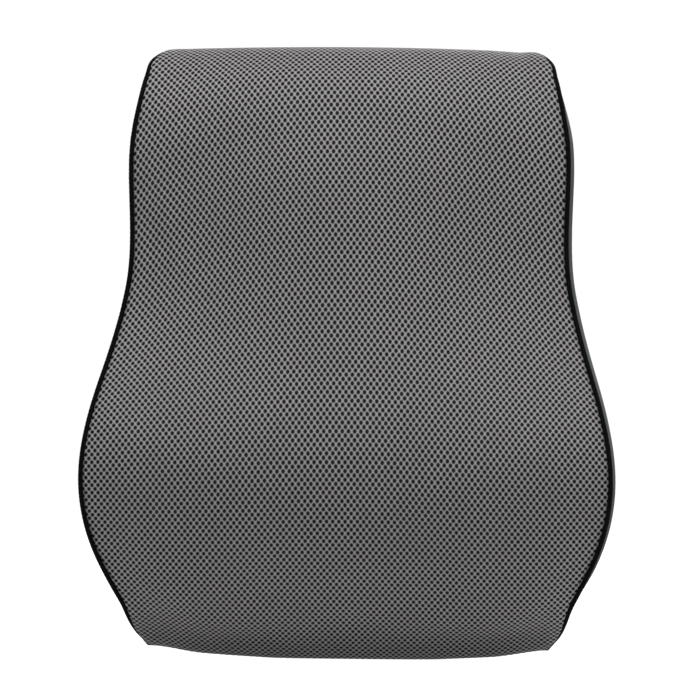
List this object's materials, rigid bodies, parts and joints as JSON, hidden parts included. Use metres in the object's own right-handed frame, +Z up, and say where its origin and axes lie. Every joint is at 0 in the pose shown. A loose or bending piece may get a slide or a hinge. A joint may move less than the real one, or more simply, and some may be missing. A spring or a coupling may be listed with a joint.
{
  "type": "lumbar support cushion",
  "caption": "Contoured foam lumbar cushion in a zipped mesh cover, with piped side seams and a buckled elastic strap for fixing it to a chair back.",
  "frame": {"origin": "on the flat back face of the upper back panel, at the middle of the cushion's height and width", "axes": "+Z up, +Y out of the flat back towards the chair, the front faces -Y, +X to the right seen from the front"},
  "size_m": [0.3698, 0.1215, 0.4306],
  "materials": {
    "foam": "open-cell memory foam, matt",
    "liner_knit": "fine white knit",
    "spacer_mesh": "open hexagonal air mesh, matt",
    "side_mesh": "fine mesh, matt",
    "back_fabric": "close knit, matt",
    "piping_fabric": "twill tape, slight sheen",
    "piping_cord": "twisted cotton cord",
    "zip_fabric": "woven tape",
    "zip_plastic": "moulded resin",
    "slider_metal": "black enamelled zinc",
    "elastic_webbing": "ribbed elastic",
    "label_fabric": "satin ribbon",
    "buckle_plastic": "moulded acetal, fine texture"
  },
  "bodies": {
    "cushion": {"foam_core": "foam", "inner_liner": "liner_knit", "front_panel": "spacer_mesh", "left_gusset": "side_mesh", "right_gusset": "side_mesh", "back_panel_upper": "back_fabric", "back_panel_lower": "back_fabric", "left_piping_sleeve": "piping_fabric", "left_piping_cord": "piping_cord", "right_piping_sleeve": "piping_fabric", "right_piping_cord": "piping_cord", "zip_tape_upper": "zip_fabric", "zip_tape_lower": "zip_fabric", "zip_teeth_upper": "zip_plastic", "zip_teeth_lower": "zip_plastic", "zip_stops": "zip_plastic", "zip_end_tab_left": "zip_fabric", "zip_end_tab_right": "zip_fabric", "strap_left": "elastic_webbing", "strap_right": "elastic_webbing", "strap_anchor_left": "back_fabric", "strap_anchor_right": "back_fabric", "care_label": "label_fabric"},
    "slider": {"zip_slider": "slider_metal"},
    "pull": {"zip_pull": "slider_metal"},
    "socket": {"buckle_socket": "buckle_plastic"},
    "plug": {"buckle_plug": "buckle_plastic"},
    "prong_upper": {"buckle_prong_upper": "buckle_plastic"},
    "prong_lower": {"buckle_prong_lower": "buckle_plastic"},
    "adjuster": {"strap_adjuster": "buckle_plastic"}
  },
  "joints": [
    {"name": "zip_slide", "type": "slide", "parent": "cushion", "child": "slider", "axis": [-1, 0, 0], "range_m": [0, 0.268], "deforming": ["zip_teeth_upper", "zip_teeth_lower"]},
    {"name": "pull_swing", "type": "hinge", "parent": "slider", "child": "pull", "pos_m": [0.136, 0.0017, -0.025], "axis": [0, 0, -1], "range_deg": [0, 180]},
    {"name": "strap_stretch", "type": "slide", "parent": "cushion", "child": "socket", "axis": [0, 1, 0], "range_m": [0, 0.1], "deforming": ["strap_left", "strap_right"]},
    {"name": "plug_withdraw", "type": "slide", "parent": "socket", "child": "plug", "axis": [1, 0, 0], "range_m": [0, 0.03], "deforming": ["buckle_prong_upper", "buckle_prong_lower"]},
    {"name": "prong_upper_squeeze", "type": "hinge", "parent": "plug", "child": "prong_upper", "pos_m": [-0.0006, 0.0064, -0.0754], "axis": [0, -1, 0], "range_deg": [0, 12], "stiffness_Nm_per_rad": 0.005},
    {"name": "prong_lower_squeeze", "type": "hinge", "parent": "plug", "child": "prong_lower", "pos_m": [-0.0006, 0.0064, -0.0986], "axis": [0, 1, 0], "range_deg": [0, 12], "stiffness_Nm_per_rad": 0.005},
    {"name": "adjuster_slide", "type": "slide", "parent": "socket", "child": "adjuster", "axis": [-1, 0, 0], "range_m": [0, 0.022]}
  ]
}
